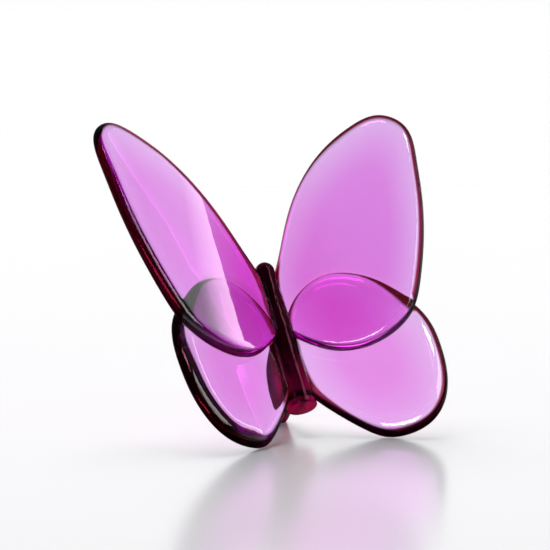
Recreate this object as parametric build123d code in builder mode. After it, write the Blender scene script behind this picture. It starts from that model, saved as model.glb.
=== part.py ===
from build123d import *
import os
from math import atan, cos, degrees, radians, tan

# Butterfly ornament in tinted clear crystal, standing on its keel and on both hindwings.
# The crystal pieces are ground separately and bonded: each wing root is let into a groove
# of the body, and each forewing and its hindwing are let into each other as a half lap.
# Frame: millimetres, +Z up, +X to the right wing, -Y to the front, origin on the keel's foot.
# Local axes of the body: depth runs to the back of the body, rise runs up the spine.
# Local axes of a wing: reach runs out from the spine, rise runs up the spine.

# Stance, in degrees
lean_angle = 40.0
spread_angle = 66.2
hindwing_tilt = 3.6
spine_tilt = 2.8
half_turn = 180.0

# Forewings
forewing_reach = 41.8
forewing_length = 57.4
forewing_drop = 26.7
forewing_base_thickness = 4.2
forewing_tip_thickness = 3.0
forewing_rim = 2.0

# Hindwings
hindwing_reach = 33.4
hindwing_length = 44.2
lap_height = 21.4
hindwing_base_thickness = 4.2
hindwing_tip_thickness = 3.2
hindwing_rim = 2.4
hindwing_set_back = 0.3

# Body
spine_length = 36.4
spine_start = 7.0
tail_radius = 3.4
head_radius = 2.2
keel_depth = 16.6
keel_height = 20.5
keel_width = 5.2
keel_rim = 1.8

# Fits
root_depth = 1.2
bond_thickness = 0.1
bond_margin = 1.7
seat_clearance = 0.12
ground_flat = 0.3
overrun = 10.0

# Wing outlines as shares of reach and length, up the front edge, round the tip and back to the root
forewing_shares = [
    (-0.02, 0.28), (0.02, 0.37), (0.088, 0.465), (0.195, 0.63), (0.33, 0.785), (0.50, 0.905), (0.69, 0.98),
    (0.86, 0.998), (0.98, 0.925), (0.99, 0.75), (0.95, 0.57), (0.89, 0.40), (0.81, 0.24), (0.68, 0.08),
    (0.52, 0.015), (0.38, 0.0), (0.24, 0.025), (0.10, 0.10), (0.02, 0.17),
]
hindwing_shares = [
    (-0.02, 0.55), (0.03, 0.75), (0.12, 0.88), (0.26, 0.97), (0.42, 1.0), (0.57, 0.97), (0.71, 0.90),
    (0.83, 0.80), (0.93, 0.69), (0.985, 0.56), (0.995, 0.44), (0.975, 0.275), (0.915, 0.145), (0.80, 0.045),
    (0.61, 0.0), (0.46, 0.02), (0.33, 0.10), (0.16, 0.255), (0.05, 0.38),
]
# Side outline of the keel as shares of its depth and height, from the spine round the back to the tail
keel_shares = [
    (-0.12, 0.39), (-0.09, 0.73), (0.09, 0.95), (0.30, 0.975), (0.57, 0.935), (0.83, 0.83), (0.965, 0.63),
    (1.0, 0.44), (0.985, 0.26), (0.86, 0.185), (0.62, 0.185), (0.36, 0.14), (0.15, 0.10), (-0.06, 0.15),
]
# Middle of the keel's foot, as shares of the keel's depth and height
foot_depth_share = 0.92
foot_height_share = 0.288
# Radius of the spine below its head, as shares of the way from the head's radius to the tail's
spine_shares = [(0.66, 0.22), (0.36, 0.56), (0.08, 0.80), (0.0, 1.0)]
# Ends of the straight core as shares of the spine's length: the low end lies inside the spine, and the
# top lies just above the wing roots
core_low_share = 0.2
core_top_share = 0.92


def mirror_plane(hinge_back, hinge_rise):
    """The plane of symmetry: local x is depth behind the spine, local y is rise up the spine."""
    upright = Plane(origin=(0, -hinge_back, hinge_rise), x_dir=(0, 1, 0), z_dir=(1, 0, 0))
    return upright.rotated((-lean_angle, 0, 0))


def wing_plane(spine, set_back, tilt):
    """A middle plane on the right side: local x is reach, local y is rise, the normal faces the front."""
    return Plane(spine.location * Rot(Y=spread_angle - half_turn) * Rot(X=-tilt)).offset(-set_back)


def outline_points(shares, reach, length, start):
    """Outline points of a wing in its own plane."""
    return [(across * reach, start + along * length) for across, along in shares]


def grown(points, amount):
    """A closed outline that runs clockwise, moved outwards by an amount, or inwards by a negative one."""
    moved = []
    for before, point, after in zip(points[-1:] + points[:-1], points, points[1:] + points[:1]):
        outward = Vector(before[1] - after[1], after[0] - before[0]).normalized()
        moved.append((point[0] + amount * outward.X, point[1] + amount * outward.Y))
    return moved


def rounded_plate(plane, points, half, taper, rim, grow):
    """A plate with bulged rims about its middle plane, its two faces tapering together up the spine."""
    front = Plane(plane.offset(half + grow).location * Rot(X=taper))
    back = Plane(plane.offset(-half - grow).location * Rot(X=-taper))
    with BuildPart() as plate:
        for level, inset in ((back, rim), (plane, 0), (front, rim)):
            with BuildSketch(level):
                with BuildLine():
                    Spline(*grown(points, grow - inset), periodic=True)
                make_face()
        loft()
    return plate.part


def wing_plate(plane, points, start, length, base, tip, rim, root, grow):
    """A wing as thick as base at its low end and tip at its high end, cut straight at its root."""
    slope = (tip - base) / 2 / length
    rounded = rounded_plate(plane, points, base / 2 - start * slope, degrees(atan(slope)), rim, grow)
    with BuildPart() as wing:
        add(rounded)
        split(bisect_by=Plane(plane.origin + plane.x_dir * root, z_dir=plane.x_dir), keep=Keep.TOP)
    return wing.part


def forewing_plate(plane, root, grow):
    """The right forewing on its middle plane, before it is let into the hindwing."""
    return wing_plate(
        plane, forewing_points, forewing_start, forewing_length,
        forewing_base_thickness, forewing_tip_thickness, forewing_rim, root, grow,
    )


def hindwing_plate(plane, root, grow):
    """The right hindwing on its middle plane, before it is let into the forewing."""
    return wing_plate(
        plane, hindwing_points, hindwing_start, hindwing_length,
        hindwing_base_thickness, hindwing_tip_thickness, hindwing_rim, root, grow,
    )


# Each forewing starts below the top of the head, and each hindwing ends where it fills the lap
forewing_start = spine_start + spine_length - forewing_drop
hindwing_start = forewing_start + lap_height - hindwing_length
forewing_points = outline_points(forewing_shares, forewing_reach, forewing_length, forewing_start)
hindwing_points = outline_points(hindwing_shares, hindwing_reach, hindwing_length, hindwing_start)
wing_root = root_depth + bond_thickness

# A first hindwing, measured to set the height at which its ground flat lies on the floor
measured_plane = wing_plane(mirror_plane(0, 0), hindwing_set_back, hindwing_tilt)
measured_hindwing = hindwing_plate(measured_plane, wing_root, 0)
hinge_rise = -measured_hindwing.bounding_box().min.Z - ground_flat
foot_depth = foot_depth_share * keel_depth
hinge_back = foot_depth / cos(radians(lean_angle)) - hinge_rise * tan(radians(lean_angle))

spine = mirror_plane(hinge_back, hinge_rise)
fore_plane = wing_plane(spine, 0, 0)
hind_plane = wing_plane(spine, hindwing_set_back, hindwing_tilt)
lap_plane = wing_plane(spine, hindwing_set_back / 2, hindwing_tilt / 2)
root_plane = Plane(fore_plane.origin + fore_plane.x_dir * wing_root, z_dir=fore_plane.x_dir)

# Right forewing, with a rebate in its back for the hindwing's upper part
whole_forewing = forewing_plate(fore_plane, wing_root, 0)
with BuildPart() as right_forewing:
    add(whole_forewing)
    with BuildSketch(lap_plane.offset(bond_thickness / 2)):
        with BuildLine():
            Spline(*grown(hindwing_points, seat_clearance), periodic=True)
        make_face()
    extrude(amount=-overrun, mode=Mode.SUBTRACT)

# Right hindwing, with a rebate in its front for the forewing's lower part and a flat ground on its rim
whole_hindwing = hindwing_plate(hind_plane, wing_root, 0)
with BuildPart() as right_hindwing:
    add(whole_hindwing)
    with BuildSketch(lap_plane.offset(-bond_thickness / 2)):
        with BuildLine():
            Spline(*grown(forewing_points, seat_clearance), periodic=True)
        make_face()
    extrude(amount=overrun, mode=Mode.SUBTRACT)
    split(bisect_by=Plane.XY, keep=Keep.TOP)

# Bond film between the two faces of the lap
with BuildPart() as right_lap_bond:
    with BuildSketch(lap_plane.offset(-bond_thickness / 2)):
        with BuildLine():
            Spline(*grown(forewing_points, -bond_margin), periodic=True)
        make_face()
        with BuildLine():
            Spline(*grown(hindwing_points, -bond_margin), periodic=True)
        make_face(mode=Mode.INTERSECT)
    extrude(amount=bond_thickness)
    split(bisect_by=root_plane, keep=Keep.TOP)

# Bond films between the wing roots and the floors of their grooves
with BuildPart() as right_forewing_bond:
    extrude(right_forewing.faces().filter_by(root_plane)[0], amount=bond_thickness)

with BuildPart() as right_hindwing_bond:
    extrude(right_hindwing.faces().filter_by(root_plane)[0], amount=bond_thickness)

# Keel behind the spine, set on the floor at the middle of its foot
foot_start = foot_depth * tan(radians(lean_angle)) - hinge_rise / cos(radians(lean_angle))
keel_start = foot_start - foot_height_share * keel_height
keel_points = [(deep * keel_depth, keel_start + up * keel_height) for deep, up in keel_shares]
keel = rounded_plate(spine, keel_points, keel_width / 2, 0, keel_rim, 0)

# Grooves for the wing roots, on both sides
forewing_groove = forewing_plate(fore_plane, root_depth, seat_clearance)
hindwing_groove = hindwing_plate(hind_plane, root_depth, seat_clearance)

# Body: a straight core on the hinge line, a spine with a flat tail that is tilted to stand proud of
# the wings, both with domed heads, then the keel, the wing grooves and the ground foot
core_plane = Plane(spine.location * Pos(Y=spine_start))
proud_plane = Plane(core_plane.location * Rot(Z=spine_tilt))
flare = tail_radius - head_radius
spine_points = [(head_radius + wide * flare, up * spine_length) for up, wide in spine_shares]
core_top = core_top_share * spine_length
core_points = [(head_radius, core_low_share * spine_length)]
core = (core_plane, core_top, core_points)
proud_spine = (proud_plane, spine_length, spine_points)
with BuildPart() as body:
    for plane, top, side_points in (core, proud_spine):
        with BuildSketch(plane):
            with BuildLine():
                head = RadiusArc((0, top), (head_radius, top - head_radius), head_radius)
                side = Spline(head @ 1, *side_points)
                Polyline(side @ 1, (0, side_points[-1][1]), head @ 0)
            make_face()
        revolve(axis=Axis(plane.origin, plane.y_dir))
    add(keel)
    for groove in (forewing_groove, hindwing_groove):
        add(groove, mode=Mode.SUBTRACT)
        mirror(groove, about=Plane.YZ, mode=Mode.SUBTRACT)
    split(bisect_by=Plane.XY, keep=Keep.TOP)

os.makedirs("parts", exist_ok=True)
body.part.label = "body"
export_step(body.part, "parts/body.step")
for name, right in (
    ("forewing", right_forewing),
    ("hindwing", right_hindwing),
    ("lap_bond", right_lap_bond),
    ("forewing_bond", right_forewing_bond),
    ("hindwing_bond", right_hindwing_bond),
):
    with BuildPart() as left:
        mirror(right.part, about=Plane.YZ)
    right.part.label = "right_" + name
    left.part.label = "left_" + name
    export_step(right.part, "parts/right_" + name + ".step")
    export_step(left.part, "parts/left_" + name + ".step")
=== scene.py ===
from math import cos, pi, radians, sin

import bmesh
import bpy
import numpy as np
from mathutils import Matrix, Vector


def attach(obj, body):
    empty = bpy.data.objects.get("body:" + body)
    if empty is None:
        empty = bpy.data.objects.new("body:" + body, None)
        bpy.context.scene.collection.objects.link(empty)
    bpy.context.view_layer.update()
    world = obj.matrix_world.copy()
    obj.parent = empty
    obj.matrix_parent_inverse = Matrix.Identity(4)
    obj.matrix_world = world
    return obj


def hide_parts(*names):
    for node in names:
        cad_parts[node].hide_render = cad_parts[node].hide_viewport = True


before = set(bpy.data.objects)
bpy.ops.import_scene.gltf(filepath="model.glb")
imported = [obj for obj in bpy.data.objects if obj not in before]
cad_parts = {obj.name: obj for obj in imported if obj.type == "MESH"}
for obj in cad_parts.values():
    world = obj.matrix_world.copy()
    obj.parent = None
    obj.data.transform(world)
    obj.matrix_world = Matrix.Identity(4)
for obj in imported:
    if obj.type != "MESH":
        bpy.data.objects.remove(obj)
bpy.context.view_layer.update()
scene = bpy.context.scene
scene.view_settings.view_transform = "Standard"
scene.cycles.max_bounces = 32
scene.cycles.glossy_bounces = 20
scene.cycles.transmission_bounces = 24

# Butterfly ornament in violet crystal: a body and four wings, each a closed mesh on its CAD outline.
# Sizes are in millimetres, in the frame of the CAD model, and MM takes them to metres.
# HINGE is the origin of the line in which the wings' planes meet. In such a plane, a runs out from that line
# and b runs up along it. WING_ROOT is where a wing is cut straight.
MM = 0.001
LEAN = radians(40.0)
SPREAD = radians(66.2)
HINGE = Vector((0.0, -19.971, -0.042))
WING_ROOT = 1.3
# How far the rims of the plates stay inside the CAD outlines
SHY = 0.29

# Wings. base and tip are thicknesses at the low and the high end, round is the width of the rounded rim, and
# crown is the part of the back's thickness that builds up slowly from the rim to the middle. clear takes the
# painted shade off the rims in the lap, the next number keeps and widens that painted shade at the lap's
# outer end, and the one after it is the width of the painted shade along the root. The shares are points of
# the outline as shares of reach and length.
FOREWING = {
    "reach": 41.8, "length": 57.4, "start": 16.7, "set_back": 0.0, "tilt": 0.0,
    "base": 4.2, "tip": 3.0, "round": 2.4, "crown": 0.5,
    "clear": 0.05, "end_shade": 0.0, "root_shade": 3.5,
    "shares": [
        (-0.02, 0.28), (0.02, 0.37), (0.088, 0.465), (0.195, 0.63), (0.33, 0.785), (0.50, 0.905),
        (0.69, 0.98), (0.86, 0.998), (0.98, 0.925), (0.99, 0.75), (0.95, 0.57), (0.89, 0.40), (0.81, 0.24),
        (0.68, 0.08), (0.52, 0.015), (0.38, 0.0), (0.24, 0.025), (0.10, 0.10), (0.02, 0.17),
    ],
}
HINDWING = {
    "reach": 33.4, "length": 44.2, "start": -6.1, "set_back": 0.3, "tilt": radians(3.6),
    "base": 4.2, "tip": 3.2, "round": 4.4, "crown": 0.45,
    "clear": 0.024, "end_shade": 1.0, "root_shade": 10.0,
    "shares": [
        (-0.02, 0.55), (0.03, 0.75), (0.12, 0.88), (0.26, 0.97), (0.42, 1.0), (0.57, 0.97),
        (0.71, 0.90), (0.83, 0.80), (0.93, 0.69), (0.985, 0.56), (0.995, 0.44), (0.975, 0.275),
        (0.915, 0.145), (0.80, 0.045), (0.61, 0.0), (0.46, 0.02), (0.33, 0.10), (0.16, 0.255), (0.05, 0.38),
    ],
}
# The rounded rim grows from a share of its width at the root to all of it, over these shares of the reach
RIM_AT_ROOT = 0.4
RIM_GROWTH = (0.1, 0.6)
CROWN_POWER = 2.4

# Body. The shares of the spine are rise and flare, and those of the keel are depth and height.
SPINE = {"start": 7.0, "length": 36.4, "tail": 3.4, "head": 2.2, "tilt": radians(2.8)}
SPINE_SHARES = [(0.66, 0.22), (0.36, 0.56), (0.08, 0.80), (0.0, 1.0)]
TAIL_ROUND = 0.35
CORE_LOW_SHARE = 0.2
CORE_TOP_SHARE = 0.92
KEEL = {"depth": 16.6, "height": 20.5, "start": 6.965, "width": 5.2, "round": 1.8, "crown": 0.2}
KEEL_SHARES = [
    (-0.12, 0.39), (-0.09, 0.73), (0.09, 0.95), (0.30, 0.975), (0.57, 0.935), (0.83, 0.83), (0.965, 0.63),
    (1.0, 0.44), (0.985, 0.26), (0.86, 0.185), (0.62, 0.185), (0.36, 0.14), (0.15, 0.10), (-0.06, 0.15),
]
SHARP_ANGLE = radians(35.0)

# Fineness of the meshes
CURVE_STEPS = 60
AROUND = 256
ROUND_STEPS = 18
FACE_STEPS = 18
TURNS = 72
HEAD_STEPS = 18
SIDE_STEPS = 48
TAIL_STEPS = 7
# The spine and its core start at different turns, so that no corners of theirs meet where they are joined
SPINE_TURN = 0.4 * pi / TURNS
CORE_TURN = pi / TURNS

# Marks that steer the wings' tint and its painted shade. The lap's mark fades in over LAP_EDGE, and each pair
# says where a mark starts and where it is full, in millimetres of reach or, for the shares of the lap's end,
# in shares of the wing's reach.
LAP_EDGE = 1.5
ROOT_MARK = (22.0, 7.0)
LAP_END_MARK = (16.5, 23.0)
# Painted shade along the root: where it starts, and the share of the tone left at the root, which widens the
# dark rim band there
ROOT_SHADE_START = 2.5
ROOT_SHADE_LEVEL = 0.12
# Painted shade at the lap's outer end: where it grows, and the share of the tone that it takes away
END_SHADE_SHARES = (0.6, 0.85)
END_SHADE_LOSS = 0.55

# Axes of the part: up the spine, behind it, across it, along the right wing and out of that wing's front
UP_SPINE = Vector((0.0, sin(LEAN), cos(LEAN)))
BEHIND = Vector((0.0, cos(LEAN), -sin(LEAN)))
ACROSS = Vector((1.0, 0.0, 0.0))
REACH = sin(SPREAD) * ACROSS - cos(SPREAD) * BEHIND
FRONT = REACH.cross(UP_SPINE)

# The body's round spine is tilted to stand proud of the wings
TAIL_END = HINGE + UP_SPINE * SPINE["start"]
SPINE_AXIS = UP_SPINE * cos(SPINE["tilt"]) - BEHIND * sin(SPINE["tilt"])
SPINE_BACK = BEHIND * cos(SPINE["tilt"]) + UP_SPINE * sin(SPINE["tilt"])


def climb(value, start, end):
    """A straight climb from 0 at start to 1 at end, and level beyond both."""
    return min(max((value - start) / (end - start), 0.0), 1.0)


def smooth_climb(value, start, end):
    """A climb from 0 at start to 1 at end that begins and ends smoothly."""
    share = climb(value, start, end)
    return share * share * (3 - 2 * share)


def closed_curve(points, count):
    """Evenly spaced points on a closed cubic spline through the given points."""
    points = np.array(points, float)
    steps = np.linalg.norm(np.roll(points, -1, 0) - points, axis=1)
    total = len(points)
    matrix = np.zeros((total, total))
    bends = np.zeros((total, 2))
    for i in range(total):
        before, after = steps[i - 1], steps[i]
        matrix[i, i - 1] += before
        matrix[i, i] += 2 * (before + after)
        matrix[i, (i + 1) % total] += after
        ahead = (points[(i + 1) % total] - points[i]) / after
        bends[i] = 6 * (ahead - (points[i] - points[i - 1]) / before)
    curvature = np.linalg.solve(matrix, bends)
    fine = []
    for i in range(total):
        j = (i + 1) % total
        t = np.linspace(0, 1, CURVE_STEPS, endpoint=False)[:, None]
        bend = ((1 - t) ** 3 - (1 - t)) * curvature[i] + (t ** 3 - t) * curvature[j]
        fine.append((1 - t) * points[i] + t * points[j] + steps[i] ** 2 / 6 * bend)
    fine = np.concatenate(fine + [fine[0][:1]])
    along = np.concatenate([[0], np.cumsum(np.linalg.norm(np.diff(fine, axis=0), axis=1))])
    places = np.linspace(0, along[-1], count, endpoint=False)
    return np.stack([np.interp(places, along, fine[:, k]) for k in (0, 1)], 1)


def outward(ring):
    """Outward unit normals of a closed ring of points that runs clockwise."""
    along = np.roll(ring, -1, 0) - np.roll(ring, 1, 0)
    normal = np.stack([-along[:, 1], along[:, 0]], 1)
    return normal / np.linalg.norm(normal, axis=1)[:, None]


def plate_rings(outline, rounding, crown):
    """Rings from the rim of a plate to its middle. Each has its points, its shares of the half thickness on
    the front and on the back, and its way from the rim, 0, to the middle, 1."""
    outline = outline - SHY * outward(outline)
    normal = outward(outline)
    middle = outline.mean(0)
    radius = np.linalg.norm(outline - middle, axis=1).mean()
    rings = []
    for angle in np.linspace(0, pi / 2, ROUND_STEPS + 1):
        inset = rounding * (1 - cos(angle))
        rings.append((outline - inset[:, None] * normal, sin(angle), inset.mean() / radius))
    edge, full, edge_way = rings[-1]
    for share in np.linspace(0, 1, FACE_STEPS + 1)[1:-1]:
        rings.append((edge + (middle - edge) * share, full, edge_way * (1 - share) + share))
    rings.append((middle[None, :], full, 1.0))
    backs = [(1 - crown) * front + crown * (1 - (1 - way) ** CROWN_POWER) for ring, front, way in rings]
    return [(ring, front, back, way) for (ring, front, way), back in zip(rings, backs)]


def finished_mesh(bm, name):
    """A new mesh from built geometry."""
    mesh = bpy.data.meshes.new(name)
    bm.to_mesh(mesh)
    bm.free()
    return mesh


def plate_mesh(name, rings, half, place, marks):
    """A closed plate from its rings. half gives the half thickness at a height b, place takes a point to the
    part, and marks are functions of a point and its way from the rim, kept as attributes."""
    bm = bmesh.new()
    rim = [bm.verts.new(place(a, b, 0.0)) for a, b in rings[0][0]]
    spots = [(a, b, 0.0) for a, b in rings[0][0]]
    sides = []
    for side in (1, -1):
        loops = [rim]
        for ring, front, back, way in rings[1:]:
            share = front if side > 0 else -back
            loops.append([bm.verts.new(place(a, b, share * half(b))) for a, b in ring])
            spots += [(a, b, way) for a, b in ring]
        sides.append(loops)
    for loops in sides:
        for outer, inner in zip(loops, loops[1:]):
            for i in range(len(outer)):
                j = (i + 1) % len(outer)
                if len(inner) == 1:
                    bm.faces.new((outer[i], outer[j], inner[0]))
                else:
                    bm.faces.new((outer[i], outer[j], inner[j], inner[i]))
    bmesh.ops.recalc_face_normals(bm, faces=bm.faces)
    mesh = finished_mesh(bm, name)
    mesh.shade_smooth()
    for mark, level in marks.items():
        levels = [level(*spot) for spot in spots]
        mesh.attributes.new(mark, "FLOAT", "POINT").data.foreach_set("value", levels)
    return mesh


def make_object(name, data):
    """An object in the scene for a mesh, a lamp or a camera."""
    made = bpy.data.objects.new(name, data)
    scene.collection.objects.link(made)
    return made


def wing_outline(wing):
    """The outline of a wing in its own plane, as evenly spaced points."""
    points = [(a * wing["reach"], wing["start"] + b * wing["length"]) for a, b in wing["shares"]]
    return closed_curve(points, AROUND)


def make_wing(name, wing, other, side, material):
    """A wing as a plate with rounded rims, lapped by the other wing of its side. side is 1 for the right one
    and -1 for the left one."""
    up = UP_SPINE * cos(wing["tilt"]) - FRONT * sin(wing["tilt"])
    front = FRONT * cos(wing["tilt"]) + UP_SPINE * sin(wing["tilt"])
    origin = HINGE - front * wing["set_back"]
    outline = wing_outline(wing)
    rounding = wing["round"] * np.interp(outline[:, 0] / wing["reach"], RIM_GROWTH, (RIM_AT_ROOT, 1.0))
    lapping = wing_outline(other)
    lapping_normal = outward(lapping)

    def half(b):
        share = (b - wing["start"]) / wing["length"]
        return (wing["base"] + (wing["tip"] - wing["base"]) * share) / 2

    def place(a, b, out):
        spot = origin + REACH * max(a, WING_ROOT) + up * b + front * out
        return Vector((side * spot.x, spot.y, max(spot.z, 0.0))) * MM

    def lap(a, b, way):
        gaps = np.array([a, b]) - lapping
        nearest = np.argmin((gaps ** 2).sum(1))
        inside = -float(gaps[nearest] @ lapping_normal[nearest])
        return climb(inside, 0.0, LAP_EDGE)

    # The lap's outer end, which is painted near black there as painted shade when seen at a low angle
    def lap_end(a, b, way):
        return smooth_climb(a, *LAP_END_MARK) * lap(a, b, way)

    # The root, whose colour is deepened, partly as painted shade
    def root(a, b, way):
        return smooth_climb(a, *ROOT_MARK)

    # The tone sets the tint from rim to middle: a low tone paints the rim dark as painted shade, and the root
    # and the lap's outer end get a lower tone as painted shade, while clear lifts the painted shade off the
    # rims in the lap
    def tone(a, b, way):
        lapped = lap(a, b, way)
        off_root = climb(a, ROOT_SHADE_START, ROOT_SHADE_START + wing["root_shade"])
        near_end = climb(a / wing["reach"], *END_SHADE_SHARES) * wing["end_shade"]
        level = way * (ROOT_SHADE_LEVEL + (1 - ROOT_SHADE_LEVEL) * off_root)
        return level * (1 - END_SHADE_LOSS * near_end * lapped) + wing["clear"] * lapped * (1 - near_end)

    marks = {"tone": tone, "root": root, "lap_end": lap_end, "lap": lap}
    rings = plate_rings(outline, rounding, wing["crown"])
    made = make_object(name, plate_mesh(name, rings, half, place, marks))
    made.data.materials.append(material)
    return made


def turned_mesh(name, rows, behind, up, start):
    """A closed turned solid from rows of radius and rise above the tail's end, from its domed top down. start
    is the turn of its first corner."""
    bm = bmesh.new()
    turns = start + np.linspace(0, 2 * pi, TURNS, endpoint=False)
    tip = bm.verts.new((TAIL_END + up * rows[0][1]) * MM)
    loops = []
    for radius, rise in rows[1:]:
        around = [ACROSS * (radius * cos(t)) + behind * (radius * sin(t)) for t in turns]
        loops.append([bm.verts.new((TAIL_END + up * rise + spot) * MM) for spot in around])
    for i in range(TURNS):
        j = (i + 1) % TURNS
        bm.faces.new((tip, loops[0][i], loops[0][j]))
        for upper, lower in zip(loops, loops[1:]):
            bm.faces.new((upper[i], lower[i], lower[j], upper[j]))
    bm.faces.new(loops[-1])
    bmesh.ops.recalc_face_normals(bm, faces=bm.faces)
    return finished_mesh(bm, name)


def spine_rows(length, sides):
    """Rows of radius and rise, from the top of the head down the sides and round the rim of the flat end."""
    head = SPINE["head"]
    top = length - head
    low = sides[-1][1] + TAIL_ROUND
    rises = [top] + [rise for radius, rise in sides]
    radii = [head] + [radius for radius, rise in sides]
    radius_at = np.poly1d(np.polyfit(rises, radii, len(sides)))
    end = float(radius_at(low)) - TAIL_ROUND
    head_turns = np.linspace(0, pi / 2, HEAD_STEPS)[:-1]
    tail_turns = np.linspace(0, pi / 2, TAIL_STEPS)[1:]
    rows = [(head * sin(t), top + head * cos(t)) for t in head_turns]
    rows += [(float(radius_at(rise)), rise) for rise in np.linspace(top, low, SIDE_STEPS)]
    rows += [(end + TAIL_ROUND * cos(t), low - TAIL_ROUND * sin(t)) for t in tail_turns]
    return rows


def keel_mesh():
    """The keel behind the spine, as a plate in the mirror plane."""
    points = [(a * KEEL["depth"], KEEL["start"] + b * KEEL["height"]) for a, b in KEEL_SHARES]
    rings = plate_rings(closed_curve(points, AROUND), np.full(AROUND, KEEL["round"]), KEEL["crown"])

    def half(b):
        return KEEL["width"] / 2

    def place(a, b, out):
        return (HINGE + ACROSS * out + BEHIND * a + UP_SPINE * b) * MM

    return plate_mesh("keel", rings, half, place, {})


def cut_at_floor(mesh):
    """Cut a closed mesh flat at the floor and close the cut."""
    bm = bmesh.new()
    bm.from_mesh(mesh)
    everything = bm.verts[:] + bm.edges[:] + bm.faces[:]
    floor_plane = {"plane_co": (0, 0, 0), "plane_no": (0, 0, 1)}
    cut = bmesh.ops.bisect_plane(bm, geom=everything, clear_inner=True, **floor_plane)
    edges = [item for item in cut["geom_cut"] if isinstance(item, bmesh.types.BMEdge)]
    bmesh.ops.edgeloop_fill(bm, edges=edges)
    bmesh.ops.recalc_face_normals(bm, faces=bm.faces)
    bm.to_mesh(mesh)
    bm.free()


def make_body(name, material):
    """The spine with its head and tail, joined to its core and its keel and cut flat at the floor."""
    flare = SPINE["tail"] - SPINE["head"]
    sides = [(SPINE["head"] + wide * flare, up * SPINE["length"]) for up, wide in SPINE_SHARES]
    core_side = (SPINE["head"], CORE_LOW_SHARE * SPINE["length"])
    rows = spine_rows(SPINE["length"], sides)
    core_rows = spine_rows(CORE_TOP_SHARE * SPINE["length"], [core_side])
    made = make_object(name, turned_mesh(name, rows, SPINE_BACK, SPINE_AXIS, SPINE_TURN))
    core = make_object("core", turned_mesh("core", core_rows, BEHIND, UP_SPINE, CORE_TURN))
    keel = make_object("keel", keel_mesh())
    for helper in (core, keel):
        joined = made.modifiers.new(helper.name, "BOOLEAN")
        joined.operation = "UNION"
        joined.solver = "MANIFOLD"
        joined.object = helper
    solid = bpy.data.meshes.new_from_object(made.evaluated_get(bpy.context.evaluated_depsgraph_get()))
    made.modifiers.clear()
    for helper in (core, keel):
        bpy.data.objects.remove(helper)
    cut_at_floor(solid)
    solid.shade_smooth()
    solid.set_sharp_from_angle(angle=SHARP_ANGLE)
    solid.materials.clear()
    solid.materials.append(material)
    made.data = solid
    return made


# Materials. The first numbers are those of the sockets of a Mix node that mixes colours.
MIX_FIRST = 6
MIX_SECOND = 7
MIX_RESULT = 2
FACING_BLEND = 0.5
RIPPLE_DETAIL = 2.0
CRYSTAL_IOR = 1.52
WHITE = (1.0, 1.0, 1.0)
# Painted shade on the wings' rims: their near black colour, and the dark crimson that dims what they mirror
RIM_PAINTED_SHADE = (0.11, 0.002, 0.008)
RIM_REFLECTION_SHADE = (0.3, 0.012, 0.04)


def surface(tree):
    """The sockets of a material's surface shader."""
    return tree.nodes["Principled BSDF"].inputs


def feed(tree, value, socket):
    """Link a socket to another one, or set it to a number or a colour."""
    if isinstance(value, bpy.types.NodeSocket):
        tree.links.new(value, socket)
    elif isinstance(value, tuple):
        socket.default_value = (*value, 1.0)
    else:
        socket.default_value = value


def calculated(tree, operation, first, second):
    """The result of a calculation with two values, each a socket or a number, kept between 0 and 1."""
    node = tree.nodes.new("ShaderNodeMath")
    node.operation = operation
    node.use_clamp = True
    feed(tree, first, node.inputs[0])
    feed(tree, second, node.inputs[1])
    return node.outputs[0]


def mixed(tree, blend, share, first, second):
    """The mix of two colours by a share, each a socket or a plain value."""
    node = tree.nodes.new("ShaderNodeMix")
    node.data_type = "RGBA"
    node.blend_type = blend
    feed(tree, share, node.inputs["Factor"])
    feed(tree, first, node.inputs[MIX_FIRST])
    feed(tree, second, node.inputs[MIX_SECOND])
    return node.outputs[MIX_RESULT]


def ramped(tree, value, stops):
    """The colour of a ramp over a value, from stops of position and colour in rising order."""
    ramp = tree.nodes.new("ShaderNodeValToRGB")
    elements = ramp.color_ramp.elements
    for item, (position, colour) in enumerate(stops):
        if item < len(elements):
            elements[item].position = position
        else:
            elements.new(position)
        elements[item].color = (*colour, 1.0)
    feed(tree, value, ramp.inputs[0])
    return ramp.outputs[0]


def marked(tree, mark):
    """The level of a mark on the mesh."""
    level = tree.nodes.new("ShaderNodeAttribute")
    level.attribute_name = mark
    return level.outputs["Fac"]


def facing(tree):
    """How low the view lies on the surface, from 0 straight on to 1 along it."""
    weight = tree.nodes.new("ShaderNodeLayerWeight")
    weight.inputs["Blend"].default_value = FACING_BLEND
    return weight.outputs["Facing"]


def generated_height(tree):
    """The height of a point as a share of its piece's height, or the rise of a direction in the sky."""
    place = tree.nodes.new("ShaderNodeTexCoord")
    split = tree.nodes.new("ShaderNodeSeparateXYZ")
    feed(tree, place.outputs["Generated"], split.inputs[0])
    return split.outputs["Z"]


def spine_share(tree):
    """How far a point lies up the spine, as a share of its length."""
    place = tree.nodes.new("ShaderNodeTexCoord")
    from_tail = tree.nodes.new("ShaderNodeVectorMath")
    from_tail.operation = "SUBTRACT"
    feed(tree, place.outputs["Object"], from_tail.inputs[0])
    from_tail.inputs[1].default_value = TAIL_END * MM
    share = tree.nodes.new("ShaderNodeVectorMath")
    share.operation = "DOT_PRODUCT"
    feed(tree, from_tail.outputs[0], share.inputs[0])
    share.inputs[1].default_value = SPINE_AXIS / (SPINE["length"] * MM)
    return share.outputs["Value"]


def noise(tree, waves, detail):
    """Noise in the part's frame, with a number of waves to the metre along each axis."""
    place = tree.nodes.new("ShaderNodeTexCoord")
    stretch = tree.nodes.new("ShaderNodeMapping")
    stretch.inputs["Scale"].default_value = waves
    feed(tree, place.outputs["Object"], stretch.inputs["Vector"])
    node = tree.nodes.new("ShaderNodeTexNoise")
    node.inputs["Scale"].default_value = 1.0
    node.inputs["Detail"].default_value = detail
    feed(tree, stretch.outputs[0], node.inputs["Vector"])
    return node.outputs[0]


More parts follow.
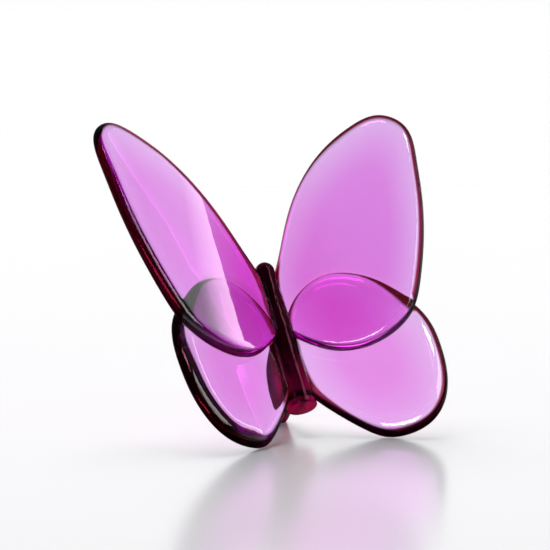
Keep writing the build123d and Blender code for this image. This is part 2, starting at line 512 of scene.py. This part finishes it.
def crystal(name, absorbed, density):
    """Clear tinted crystal, which takes more from the light the deeper the glass that the light crosses."""
    material = bpy.data.materials.new(name)
    material.use_nodes = True
    tree = material.node_tree
    feed(tree, 1.0, surface(tree)["Transmission Weight"])
    feed(tree, CRYSTAL_IOR, surface(tree)["IOR"])
    feed(tree, 0.0, surface(tree)["Roughness"])
    volume = tree.nodes.new("ShaderNodeVolumeAbsorption")
    feed(tree, absorbed, volume.inputs["Color"])
    feed(tree, density, volume.inputs["Density"])
    feed(tree, volume.outputs[0], tree.nodes["Material Output"].inputs["Volume"])
    return material


def multiply_colour(material, share, colour):
    """Multiply a crystal's surface colour so far by another colour, by a share."""
    tree = material.node_tree
    base = surface(tree)["Base Color"]
    feed(tree, mixed(tree, "MULTIPLY", share, base.links[0].from_socket, colour), base)


def tint_with_rim_shade(material, stops):
    """Colour a wing's crystal by the way from its rim to its middle, with the rim painted near black as
    painted shade, and darken what its rim mirrors as painted shade.
    """
    tree = material.node_tree
    tone = marked(tree, "tone")
    rim_end, inside_start = stops[0][0], stops[1][0]
    mirror_stops = [(rim_end, RIM_REFLECTION_SHADE), (inside_start, WHITE)]
    feed(tree, ramped(tree, tone, stops), surface(tree)["Base Color"])
    feed(tree, ramped(tree, tone, mirror_stops), surface(tree)["Specular Tint"])


def tint_mark(material, mark, colour, facing_range, share_range):
    """Multiply a wing's tint by a colour where it is marked. The colour's share runs through share_range as
    the lowness of the view runs through facing_range."""
    tree = material.node_tree
    spread = tree.nodes.new("ShaderNodeMapRange")
    feed(tree, facing(tree), spread.inputs["Value"])
    for socket, value in zip(("From Min", "From Max", "To Min", "To Max"), facing_range + share_range):
        feed(tree, value, spread.inputs[socket])
    share = calculated(tree, "MULTIPLY", marked(tree, mark), spread.outputs[0])
    multiply_colour(material, share, colour)


def shade(material, value, stops):
    """Multiply a crystal's surface colour by a grey ramp over a value, from stops of position and level."""
    greys = [(position, (level, level, level)) for position, level in stops]
    multiply_colour(material, 1.0, ramped(material.node_tree, value, greys))


def ripple(material, waves, depth):
    """Fine waves in the surface of a crystal."""
    tree = material.node_tree
    bump = tree.nodes.new("ShaderNodeBump")
    feed(tree, depth, bump.inputs["Distance"])
    feed(tree, noise(tree, waves, RIPPLE_DETAIL), bump.inputs["Height"])
    feed(tree, bump.outputs[0], surface(tree)["Normal"])


# Crystal of the wings. A tint's stops run from the rim to the middle, and the first stop is the painted shade
# of the rims.
WING_WAVES = (90.0, 90.0, 90.0)
WING_WAVE_DEPTH = 0.002 * MM
FOREWING_ABSORBED = (0.86, 0.02, 0.85)
FOREWING_DENSITY = 283.0
FOREWING_STOPS = [(0.034, RIM_PAINTED_SHADE), (0.05, (0.88, 0.98, 1.0)), (0.44, (0.86, 0.667, 0.93))]
# Each mark with its colour, a range of the view's lowness and the colour's shares at the ends of that range
# The view's lowness weights these: the first lap tint lightens the lap seen straight on, and the second
# darkens it as painted shade seen at a low angle. The root tint deepens the colour near the root, partly as
# painted shade, and the lap_end tint paints the lap's outer end near black as painted shade
FOREWING_MARK_TINTS = [
    ("lap", (1.16, 1.06, 1.0), (0.15, 0.4), (1.0, 0.0)),
    ("lap", (0.78, 0.85, 0.76), (0.2, 0.45), (0.0, 1.0)),
    ("root", (0.96, 0.06, 0.70), (0.1, 0.45), (0.2, 1.0)),
    ("lap_end", (0.004, 0.004, 0.005), (0.25, 0.45), (0.0, 1.0)),
]
HINDWING_ABSORBED = (0.88, 0.02, 0.917)
HINDWING_DENSITY = 214.0
HINDWING_STOPS = [(0.045, RIM_PAINTED_SHADE), (0.062, (0.95, 1.0, 1.0)), (0.6, (0.95, 0.71, 0.926))]

wing_crystal = crystal("wing_crystal", FOREWING_ABSORBED, FOREWING_DENSITY)
# The rims are painted near black as painted shade, and the marks add further tint and painted shade
tint_with_rim_shade(wing_crystal, FOREWING_STOPS)
for mark, colour, facing_range, share_range in FOREWING_MARK_TINTS:
    tint_mark(wing_crystal, mark, colour, facing_range, share_range)
ripple(wing_crystal, WING_WAVES, WING_WAVE_DEPTH)
hindwing_crystal = crystal("hindwing_crystal", HINDWING_ABSORBED, HINDWING_DENSITY)
tint_with_rim_shade(hindwing_crystal, HINDWING_STOPS)
ripple(hindwing_crystal, WING_WAVES, WING_WAVE_DEPTH)

# Crystal of the body: nearly black, with a crimson low end, streaks and a dark band just above the tail. The
# darker top, the dark outlines and the dark band are painted shade, and what the body mirrors is dimmed to
# crimson as painted shade. The streaks are random dark tone.
BODY_ABSORBED = (0.80, 0.02, 0.60)
BODY_DENSITY = 1600.0
BODY_TRANSMISSION = 0.4
# The first colour dims what the body mirrors to dark crimson as painted shade. The ramp below it paints the
# outlines near black and the body darker where it is seen straight on, as painted shade
BODY_REFLECTION_SHADE = (0.4, 0.05, 0.14)
BODY_SHADE_BY_FACING = [
    (0.05, (0.16, 0.001, 0.03)), (0.4, (1.0, 0.004, 0.16)),
    (0.62, (0.9, 0.004, 0.14)), (0.8, (0.01, 0.0, 0.002)),
]
# Grey ramps: darker towards the top and a dark band just above the tail, both painted shade. The streak ramp
# is random dark tone
BODY_SHADE_BY_HEIGHT = [(0.22, 1.0), (0.5, 0.1)]
BODY_BY_STREAK = [(0.36, 0.3), (0.5, 1.0)]
BODY_SHADE_BY_RISE = [(0.03, 1.0), (0.045, 0.05), (0.07, 0.05), (0.1, 1.0)]
STREAK_WAVES = (520.0, 95.0, 95.0)
STREAK_DETAIL = 1.0
BODY_WAVES = (900.0, 180.0, 180.0)
BODY_WAVE_DEPTH = 0.15 * MM

body_crystal = crystal("body_crystal", BODY_ABSORBED, BODY_DENSITY)
body_tree = body_crystal.node_tree
feed(body_tree, BODY_TRANSMISSION, surface(body_tree)["Transmission Weight"])
# Painted shade: what the body mirrors dimmed to crimson, near black outlines, a darker top and a dark band
# above the tail. The streaks are random dark tone
feed(body_tree, BODY_REFLECTION_SHADE, surface(body_tree)["Specular Tint"])
feed(body_tree, ramped(body_tree, facing(body_tree), BODY_SHADE_BY_FACING), surface(body_tree)["Base Color"])
shade(body_crystal, generated_height(body_tree), BODY_SHADE_BY_HEIGHT)
shade(body_crystal, noise(body_tree, STREAK_WAVES, STREAK_DETAIL), BODY_BY_STREAK)
shade(body_crystal, spine_share(body_tree), BODY_SHADE_BY_RISE)
ripple(body_crystal, BODY_WAVES, BODY_WAVE_DEPTH)

# Pieces
body = make_body("crystal_body", body_crystal)
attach(body, "root")
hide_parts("body")
for side, word in ((1, "right"), (-1, "left")):
    forewing = make_wing("crystal_" + word + "_forewing", FOREWING, HINDWING, side, wing_crystal)
    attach(forewing, "root")
    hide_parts(word + "_forewing", word + "_forewing_bond")
    hindwing = make_wing("crystal_" + word + "_hindwing", HINDWING, FOREWING, side, hindwing_crystal)
    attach(hindwing, "root")
    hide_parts(word + "_hindwing", word + "_hindwing_bond", word + "_lap_bond")

# Floor, in metres: pale and polished. The crystal mirrors it dark and matt, which keeps the rims dark.
FLOOR_RADIUS = 8.0
FLOOR_SIDES = 96
FLOOR_DROP = 0.00005
FLOOR_COLOUR = (0.86, 0.86, 0.86)
FLOOR_MIRRORED = (0.1, 0.1, 0.1)
FLOOR_ROUGHNESS = 0.2
FLOOR_SPECULAR = 0.5
FLOOR_LIFT = 0.09


def make_floor():
    """A round floor just below the part."""
    bm = bmesh.new()
    bmesh.ops.create_circle(bm, cap_ends=True, segments=FLOOR_SIDES, radius=FLOOR_RADIUS)
    made = make_object("floor", finished_mesh(bm, "floor"))
    made.location = (0, 0, -FLOOR_DROP)
    paper = bpy.data.materials.new("paper")
    paper.use_nodes = True
    tree = paper.node_tree
    path = tree.nodes.new("ShaderNodeLightPath").outputs
    mirrored = calculated(tree, "SUBTRACT", path["Is Glossy Ray"], path["Is Transmission Ray"])
    direct = calculated(tree, "SUBTRACT", 1.0, mirrored)
    seen = calculated(tree, "ADD", path["Is Camera Ray"], path["Is Transmission Ray"])
    feed(tree, FLOOR_ROUGHNESS, surface(tree)["Roughness"])
    feed(tree, FLOOR_ROUGHNESS, surface(tree)["Coat Roughness"])
    feed(tree, mixed(tree, "MIX", mirrored, FLOOR_COLOUR, FLOOR_MIRRORED), surface(tree)["Base Color"])
    feed(tree, direct, surface(tree)["Coat Weight"])
    feed(tree, calculated(tree, "MULTIPLY", direct, FLOOR_SPECULAR), surface(tree)["Specular IOR Level"])
    feed(tree, WHITE, surface(tree)["Emission Color"])
    feed(tree, calculated(tree, "MULTIPLY", seen, FLOOR_LIFT), surface(tree)["Emission Strength"])
    made.data.materials.append(paper)
    return made


floor = make_floor()

# World: white to the camera, and to the crystal white at the horizon and dim above. The stops run up the sky.
SKY_STOPS = [(0.16, WHITE), (0.42, (0.10, 0.10, 0.11))]
AMBIENT = (0.23, 0.24, 0.31)


def make_world():
    """A plain studio around the part."""
    world = bpy.data.worlds.new("studio")
    world.use_nodes = True
    tree = world.node_tree
    path = tree.nodes.new("ShaderNodeLightPath").outputs
    sky = ramped(tree, generated_height(tree), SKY_STOPS)
    by_crystal = calculated(tree, "ADD", path["Is Glossy Ray"], path["Is Transmission Ray"])
    around = mixed(tree, "MIX", by_crystal, AMBIENT, sky)
    shown = mixed(tree, "MIX", path["Is Camera Ray"], around, WHITE)
    feed(tree, shown, tree.nodes["Background"].inputs["Color"])
    return world


scene.world = make_world()

# Lamps, in metres. Most of the back light is kept from passing through the crystal to the floor.
MIDDLE = Vector((0.0, -0.012, 0.033))
BACK_LIGHT_PLACE = (0.1, 0.6, 0.75)
BACK_LIGHT_COLOUR = (1.0, 0.98, 0.95)
BACK_LIGHT_ANGLE = radians(40.0)
BACK_LIGHTS = [("through", 0.9), ("around", 2.8)]
# Name, place, size and power of the lamps that show in the crystal
SOFTBOXES = [
    ("front_strip", (-0.25, -0.53, 0.43), (0.40, 0.15), 3.0),
    ("side_strip", (0.288, -0.321, 0.486), (0.26, 0.34), 1.2),
    ("top_left", (-0.39, -0.026, 0.452), (0.07, 0.07), 0.05),
    ("top_right", (0.132, -0.147, 0.565), (0.07, 0.07), 0.3),
]


def make_lamp(name, kind, place, power):
    """A lamp at a place, aimed at the middle of the part."""
    lamp = make_object(name, bpy.data.lights.new(name, kind))
    lamp.data.energy = power
    lamp.location = place
    lamp.rotation_euler = (MIDDLE - Vector(place)).to_track_quat("-Z", "Y").to_euler()
    return lamp


for word, power in BACK_LIGHTS:
    sun = make_lamp("back_light_" + word, "SUN", BACK_LIGHT_PLACE, power)
    sun.data.color = BACK_LIGHT_COLOUR
    sun.data.angle = BACK_LIGHT_ANGLE
    sun.visible_glossy = False
    sun.visible_transmission = word == "through"
for name, place, size, power in SOFTBOXES:
    softbox = make_lamp(name, "AREA", place, power)
    softbox.data.shape = "RECTANGLE"
    softbox.data.size, softbox.data.size_y = size
    softbox.visible_camera = False
    softbox.visible_diffuse = False

# A bright card, in metres, whose lower edge shows in the left wing. Its glow is given at the grid's corners.
CARD_EDGE = Vector((0.3574, 0.0652, 0.2804))
CARD_ALONG = Vector((0.2, -0.686, -0.698)).normalized()
CARD_UP = Vector((-0.27, -0.68, 0.59)).normalized()
CARD_COLUMNS = (-0.10, 0.08, 0.2)
CARD_ROWS = (0.0, 0.018, 0.05)
CARD_GLOW = [(1.6, 9.0, 0.0), (1.2, 1.8, 0.0), (0.0, 0.0, 0.0)]


def make_card():
    """The card, which only the crystal shows."""
    bm = bmesh.new()
    grid = [[bm.verts.new(CARD_EDGE + CARD_ALONG * a + CARD_UP * b) for a in CARD_COLUMNS] for b in CARD_ROWS]
    for lower, upper in zip(grid, grid[1:]):
        for i in range(len(CARD_COLUMNS) - 1):
            bm.faces.new((lower[i], lower[i + 1], upper[i + 1], upper[i]))
    made = make_object("card", finished_mesh(bm, "card"))
    levels = [level for row in CARD_GLOW for level in row]
    made.data.attributes.new("glow", "FLOAT", "POINT").data.foreach_set("value", levels)
    made.visible_camera = False
    made.visible_diffuse = False
    made.visible_shadow = False
    glow = bpy.data.materials.new("glow")
    glow.use_nodes = True
    tree = glow.node_tree
    tree.nodes.remove(tree.nodes["Principled BSDF"])
    light = tree.nodes.new("ShaderNodeEmission")
    feed(tree, marked(tree, "glow"), light.inputs["Strength"])
    feed(tree, light.outputs[0], tree.nodes["Material Output"].inputs["Surface"])
    made.data.materials.append(glow)
    return made


card = make_card()

# Camera at the photograph's viewing angle, in millimetres but for CLIP_END, which is in metres. VIEW_PIXEL is
# where the photograph shows VIEW_POINT.
VIEW_TURN = radians(-24.2)
VIEW_RISE = radians(7.23)
VIEW_DISTANCE = 565.9
VIEW_POINT = Vector((0.0, -21.04, 33.91))
VIEW_PIXEL = (313.29, 279.72)
FOCAL_PIXELS = 2664.2
FRAME_PIXELS = 550
SENSOR_WIDTH = 36.0
CLIP_END = 30.0
back = Vector((sin(VIEW_TURN) * cos(VIEW_RISE), -cos(VIEW_TURN) * cos(VIEW_RISE), sin(VIEW_RISE)))
right = Vector((cos(VIEW_TURN), sin(VIEW_TURN), 0.0))
up = back.cross(right)
per_pixel = VIEW_DISTANCE / FOCAL_PIXELS
aim_right = (FRAME_PIXELS / 2 - VIEW_PIXEL[0]) * per_pixel
aim_down = (FRAME_PIXELS / 2 - VIEW_PIXEL[1]) * per_pixel
aim = VIEW_POINT + aim_right * right - aim_down * up
camera = make_object("camera", bpy.data.cameras.new("camera"))
scene.camera = camera
camera.data.sensor_width = SENSOR_WIDTH
camera.data.lens = SENSOR_WIDTH * FOCAL_PIXELS / FRAME_PIXELS
camera.data.clip_end = CLIP_END
camera.location = (VIEW_POINT + VIEW_DISTANCE * back) * MM
camera.rotation_euler = (aim * MM - camera.location).to_track_quat("-Z", "Y").to_euler()
